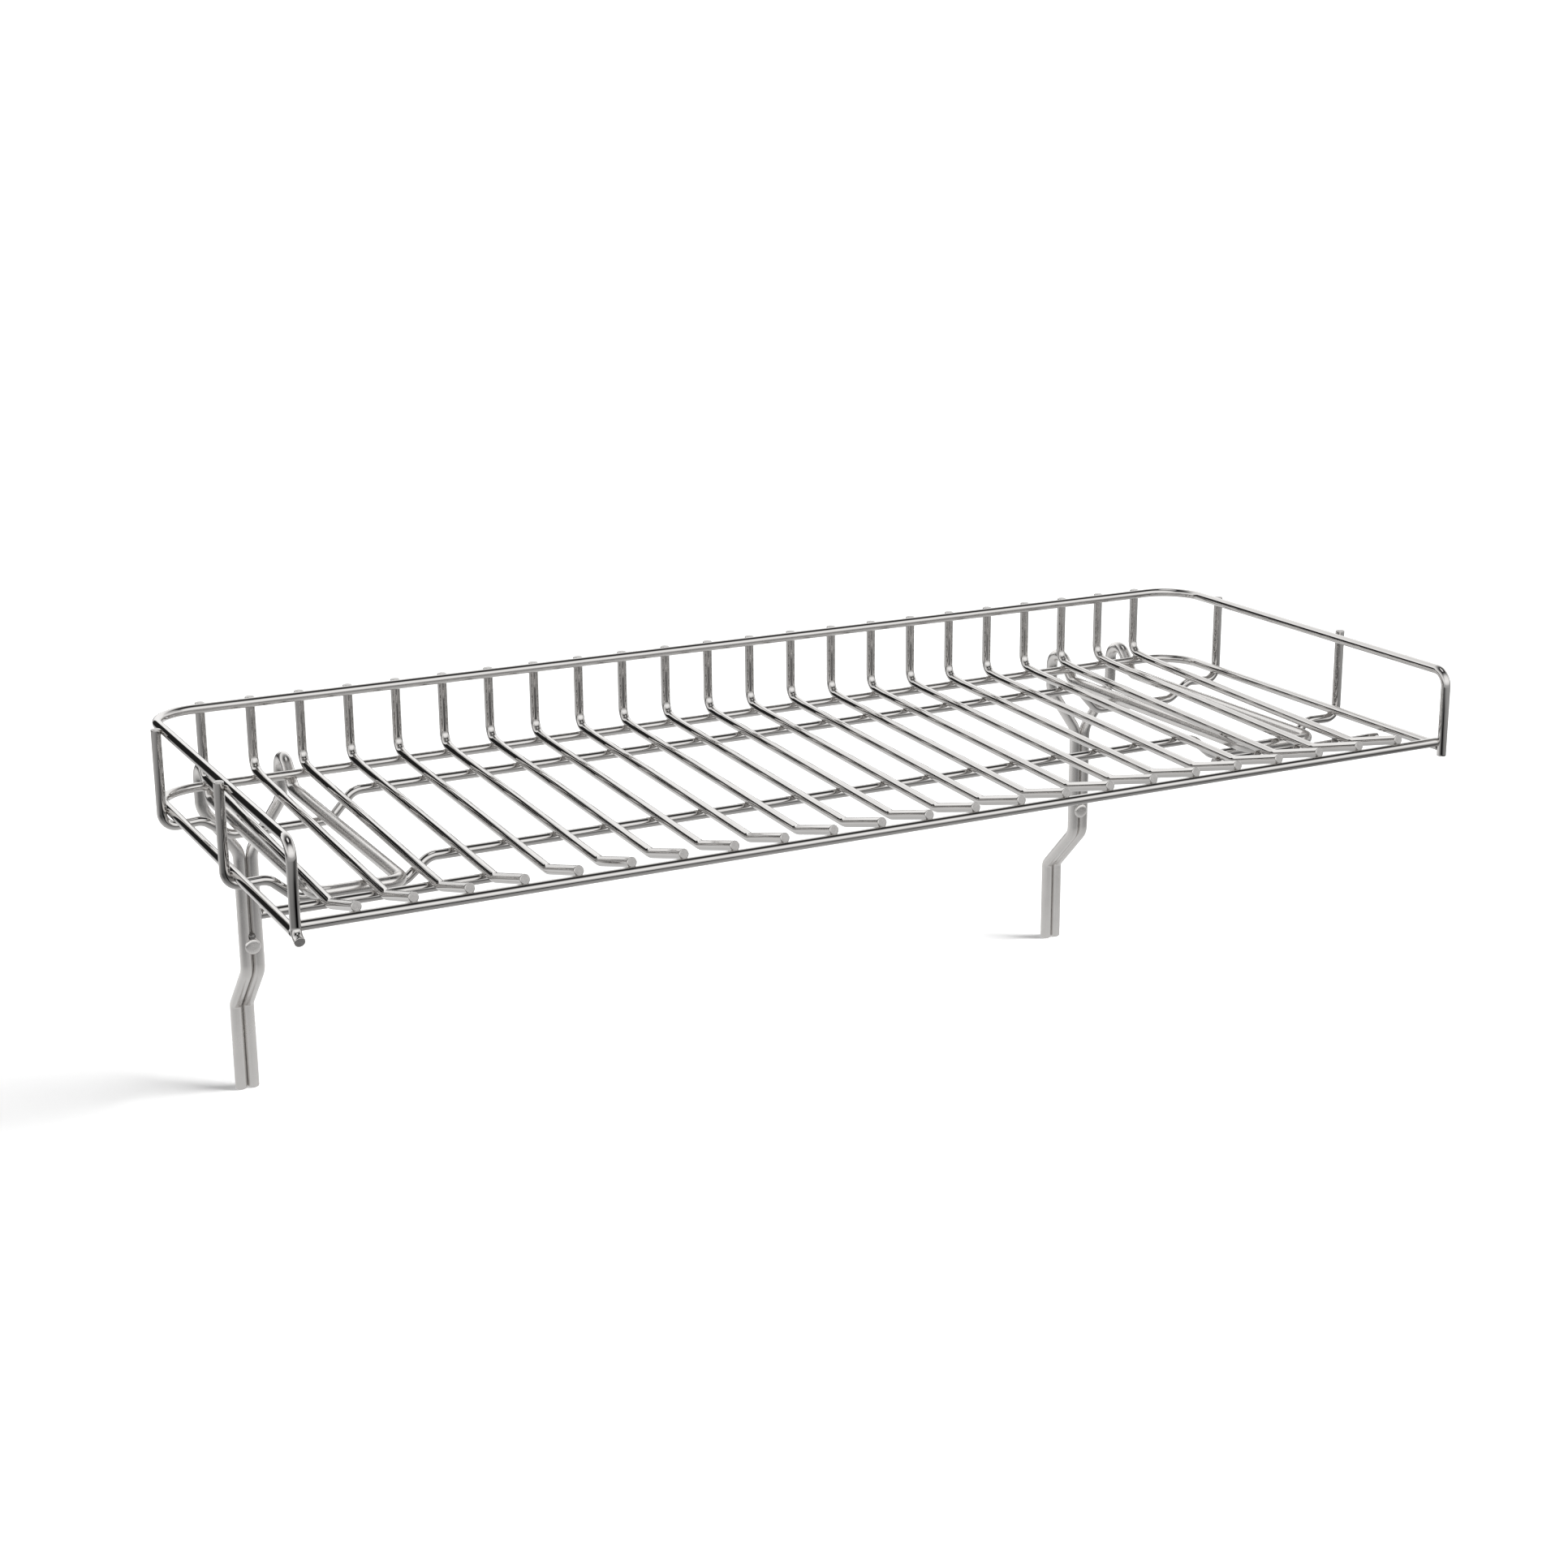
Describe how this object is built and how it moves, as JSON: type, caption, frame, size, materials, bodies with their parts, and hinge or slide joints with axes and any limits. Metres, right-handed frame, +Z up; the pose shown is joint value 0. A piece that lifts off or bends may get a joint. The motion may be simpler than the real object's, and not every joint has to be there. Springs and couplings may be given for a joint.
{
  "type": "plug-in wire dish rack",
  "caption": "Shallow open basket of polished wire slats and rims, carried at the back by two bent twin-wire legs that slide out of it and plug in from above.",
  "frame": {"origin": "midway between the two feet, on the level of their cut lower ends", "axes": "+X to the right along the slatted basket, +Y to the rear where the legs stand, +Z up"},
  "size_m": [0.6274, 0.2977, 0.2289],
  "materials": {
    "shelf_wire": "polished",
    "leg_wire": "satin plated",
    "button": "satin plated"
  },
  "bodies": {
    "shelf": {"upper_rim": "shelf_wire", "lower_rim": "shelf_wire", "front_rail": "shelf_wire", "slat_01": "shelf_wire", "slat_02": "shelf_wire", "slat_03": "shelf_wire", "slat_04": "shelf_wire", "slat_05": "shelf_wire", "slat_06": "shelf_wire", "slat_07": "shelf_wire", "slat_08": "shelf_wire", "slat_09": "shelf_wire", "slat_10": "shelf_wire", "slat_11": "shelf_wire", "slat_12": "shelf_wire", "slat_13": "shelf_wire", "slat_14": "shelf_wire", "slat_15": "shelf_wire", "slat_16": "shelf_wire", "slat_17": "shelf_wire", "slat_18": "shelf_wire", "slat_19": "shelf_wire", "slat_20": "shelf_wire", "slat_21": "shelf_wire", "slat_22": "shelf_wire", "slat_23": "shelf_wire", "rear_cross_rail": "shelf_wire", "front_cross_rail": "shelf_wire", "left_stop_rail": "shelf_wire", "right_stop_rail": "shelf_wire"},
    "left_leg": {"left_leg": "leg_wire", "left_button": "button"},
    "right_leg": {"right_leg": "leg_wire", "right_button": "button"}
  },
  "joints": [
    {"name": "left_leg_slide", "type": "slide", "parent": "shelf", "child": "left_leg", "axis": [0, 1, 0], "range_m": [0, 0.12]},
    {"name": "right_leg_slide", "type": "slide", "parent": "shelf", "child": "right_leg", "axis": [0, 1, 0], "range_m": [0, 0.12]}
  ]
}
